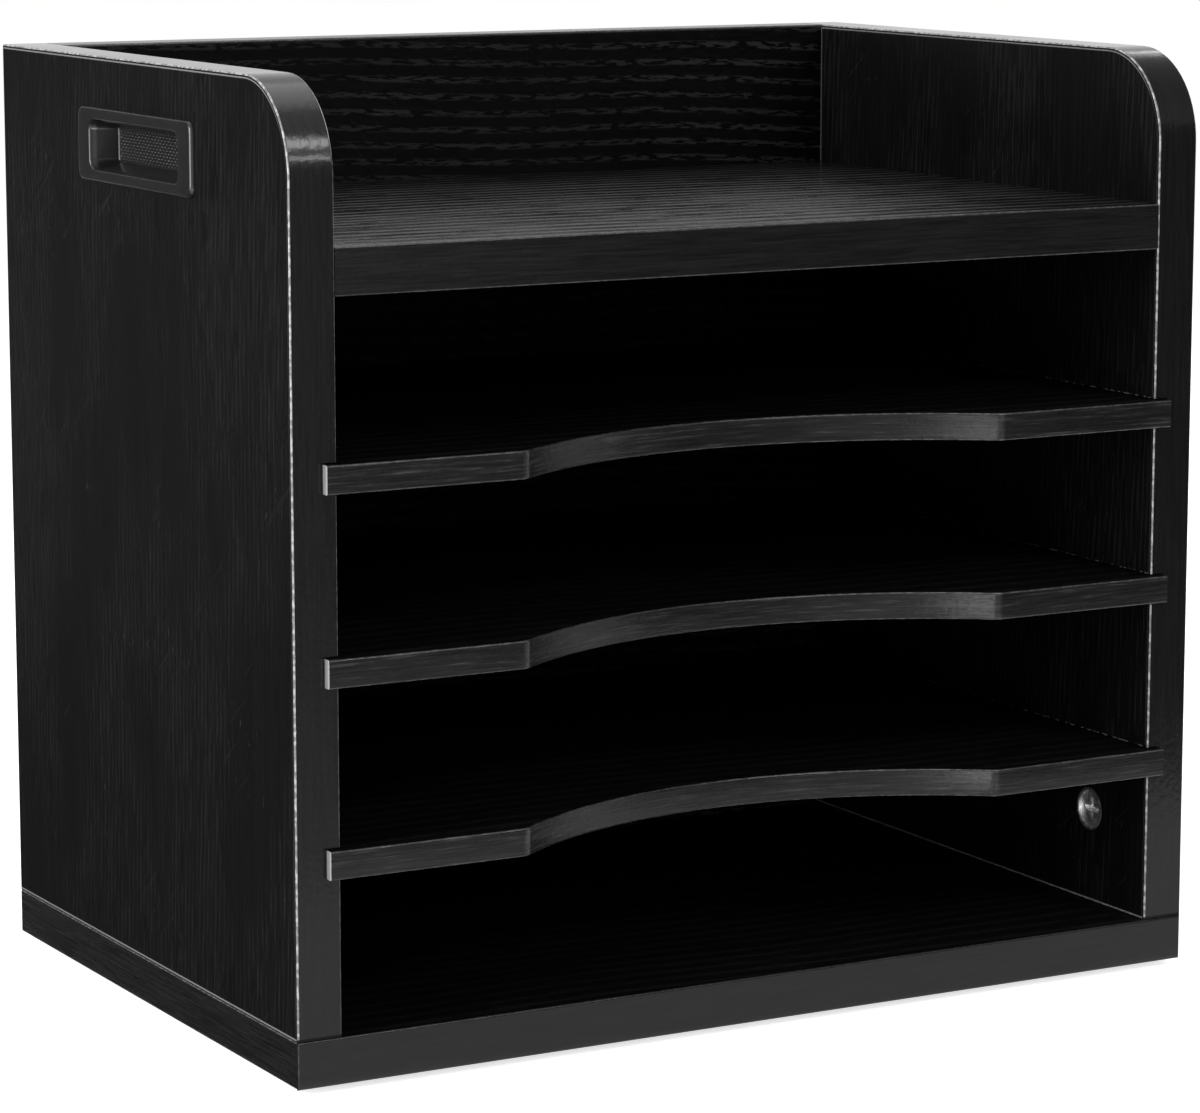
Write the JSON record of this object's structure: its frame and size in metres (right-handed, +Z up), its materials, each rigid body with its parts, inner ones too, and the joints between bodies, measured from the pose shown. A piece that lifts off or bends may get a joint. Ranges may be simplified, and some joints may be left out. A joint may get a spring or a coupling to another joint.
{
  "type": "desk file organizer",
  "caption": "Open-fronted desktop file organizer of black wood-grain board with a top tray, grooved pull-out shelves with curved fronts and recessed side handles.",
  "frame": {"origin": "on the desk, under the middle of the overall box", "axes": "+X to the right as seen from the open front, +Y to the back, +Z up"},
  "size_m": [0.333, 0.228, 0.309],
  "materials": {
    "board_melamine": "black melamine, embossed wood grain, satin",
    "shelf_melamine": "black melamine, embossed wood grain, satin",
    "edge_band": "black PVC edge band, smooth satin",
    "shelf_edge_band": "black PVC edge band, streaked grain, satin",
    "handle_plastic": "black moulded plastic, fine satin, pipped floor",
    "cam_zinc": "bare die-cast zinc",
    "bolt_steel": "bright zinc-plated steel",
    "dowel_beech": "plain beech",
    "pad_foam": "black foam, matt"
  },
  "bodies": {
    "case": {"left_side_panel": "board_melamine", "right_side_panel": "board_melamine", "base_board": "board_melamine", "top_board": "board_melamine", "back_panel": "board_melamine", "left_side_edge_band": "edge_band", "right_side_edge_band": "edge_band", "base_front_edge_band": "edge_band", "base_end_edge_bands": "edge_band", "top_board_edge_band": "edge_band", "back_panel_edge_band": "edge_band", "left_handle_cup": "handle_plastic", "right_handle_cup": "handle_plastic", "base_cam_locks": "cam_zinc", "top_cam_locks": "cam_zinc", "back_cam_locks": "cam_zinc", "base_cam_bolts": "bolt_steel", "top_cam_bolts": "bolt_steel", "back_cam_bolts": "bolt_steel", "base_dowels": "dowel_beech", "top_dowels": "dowel_beech", "back_dowels": "dowel_beech", "foot_pads": "pad_foam"},
    "lower_shelf_assembly": {"lower_shelf": "shelf_melamine", "lower_shelf_edge_band": "shelf_edge_band"},
    "middle_shelf_assembly": {"middle_shelf": "shelf_melamine", "middle_shelf_edge_band": "shelf_edge_band"},
    "upper_shelf_assembly": {"upper_shelf": "shelf_melamine", "upper_shelf_edge_band": "shelf_edge_band"}
  },
  "joints": [
    {"name": "lower_shelf_slide", "type": "slide", "parent": "case", "child": "lower_shelf_assembly", "axis": [0, -1, 0], "range_m": [0, 0.2]},
    {"name": "middle_shelf_slide", "type": "slide", "parent": "case", "child": "middle_shelf_assembly", "axis": [0, -1, 0], "range_m": [0, 0.2]},
    {"name": "upper_shelf_slide", "type": "slide", "parent": "case", "child": "upper_shelf_assembly", "axis": [0, -1, 0], "range_m": [0, 0.2]}
  ]
}
